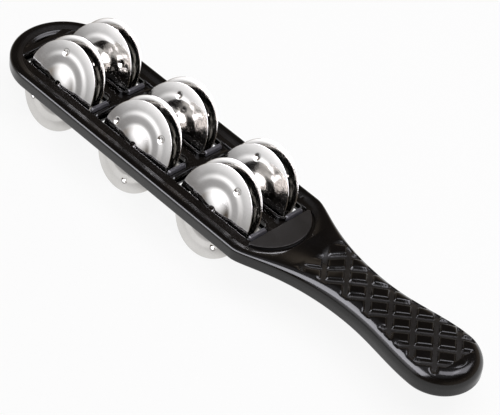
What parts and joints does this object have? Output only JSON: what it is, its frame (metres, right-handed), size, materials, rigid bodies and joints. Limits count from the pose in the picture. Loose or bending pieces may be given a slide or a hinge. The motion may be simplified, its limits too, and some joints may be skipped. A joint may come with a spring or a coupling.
{
  "type": "jingle stick",
  "caption": "Hand-held jingle stick: a long moulded head with windows, steel jingles in pairs on cross pins, and a waisted handle with a crosshatched grip.",
  "frame": {"origin": "middle of the bounding box, at mid-length on the level of the cross pins", "axes": "+X from the head to the handle's butt, +Y towards the side that the jingles' tops lean to, +Z out of the open top of the head"},
  "size_m": [0.3452, 0.064, 0.045],
  "materials": {
    "black_plastic": "glossy moulded black",
    "pin_steel": "bright drawn wire",
    "jingle_steel": "polished"
  },
  "bodies": {
    "stick": {"frame": "black_plastic", "back_cover": "black_plastic", "pin_1": "pin_steel", "pin_2": "pin_steel", "pin_3": "pin_steel"},
    "jingle_1_near_outer": {"jingle_1_near_outer": "jingle_steel"},
    "jingle_1_near_inner": {"jingle_1_near_inner": "jingle_steel"},
    "jingle_1_far_outer": {"jingle_1_far_outer": "jingle_steel"},
    "jingle_1_far_inner": {"jingle_1_far_inner": "jingle_steel"},
    "jingle_2_near_outer": {"jingle_2_near_outer": "jingle_steel"},
    "jingle_2_near_inner": {"jingle_2_near_inner": "jingle_steel"},
    "jingle_2_far_outer": {"jingle_2_far_outer": "jingle_steel"},
    "jingle_2_far_inner": {"jingle_2_far_inner": "jingle_steel"},
    "jingle_3_near_outer": {"jingle_3_near_outer": "jingle_steel"},
    "jingle_3_near_inner": {"jingle_3_near_inner": "jingle_steel"},
    "jingle_3_far_outer": {"jingle_3_far_outer": "jingle_steel"},
    "jingle_3_far_inner": {"jingle_3_far_inner": "jingle_steel"}
  },
  "joints": [
    {"name": "jingle_1_near_outer_slide", "type": "slide", "parent": "stick", "child": "jingle_1_near_outer", "axis": [0, 1, 0], "range_m": [-0.0005, 0.0048]},
    {"name": "jingle_1_near_inner_slide", "type": "slide", "parent": "stick", "child": "jingle_1_near_inner", "axis": [0, 1, 0], "range_m": [-0.0008, 0.00025]},
    {"name": "jingle_1_far_outer_slide", "type": "slide", "parent": "stick", "child": "jingle_1_far_outer", "axis": [0, 1, 0], "range_m": [-0.0008, 0.00025]},
    {"name": "jingle_1_far_inner_slide", "type": "slide", "parent": "stick", "child": "jingle_1_far_inner", "axis": [0, 1, 0], "range_m": [-0.0005, 0.0048]},
    {"name": "jingle_2_near_outer_slide", "type": "slide", "parent": "stick", "child": "jingle_2_near_outer", "axis": [0, 1, 0], "range_m": [-0.0005, 0.0048]},
    {"name": "jingle_2_near_inner_slide", "type": "slide", "parent": "stick", "child": "jingle_2_near_inner", "axis": [0, 1, 0], "range_m": [-0.0008, 0.00025]},
    {"name": "jingle_2_far_outer_slide", "type": "slide", "parent": "stick", "child": "jingle_2_far_outer", "axis": [0, 1, 0], "range_m": [-0.0008, 0.00025]},
    {"name": "jingle_2_far_inner_slide", "type": "slide", "parent": "stick", "child": "jingle_2_far_inner", "axis": [0, 1, 0], "range_m": [-0.0005, 0.0048]},
    {"name": "jingle_3_near_outer_slide", "type": "slide", "parent": "stick", "child": "jingle_3_near_outer", "axis": [0, 1, 0], "range_m": [-0.0005, 0.0048]},
    {"name": "jingle_3_near_inner_slide", "type": "slide", "parent": "stick", "child": "jingle_3_near_inner", "axis": [0, 1, 0], "range_m": [-0.0008, 0.00025]},
    {"name": "jingle_3_far_outer_slide", "type": "slide", "parent": "stick", "child": "jingle_3_far_outer", "axis": [0, 1, 0], "range_m": [-0.0008, 0.00025]},
    {"name": "jingle_3_far_inner_slide", "type": "slide", "parent": "stick", "child": "jingle_3_far_inner", "axis": [0, 1, 0], "range_m": [-0.0005, 0.0048]}
  ]
}
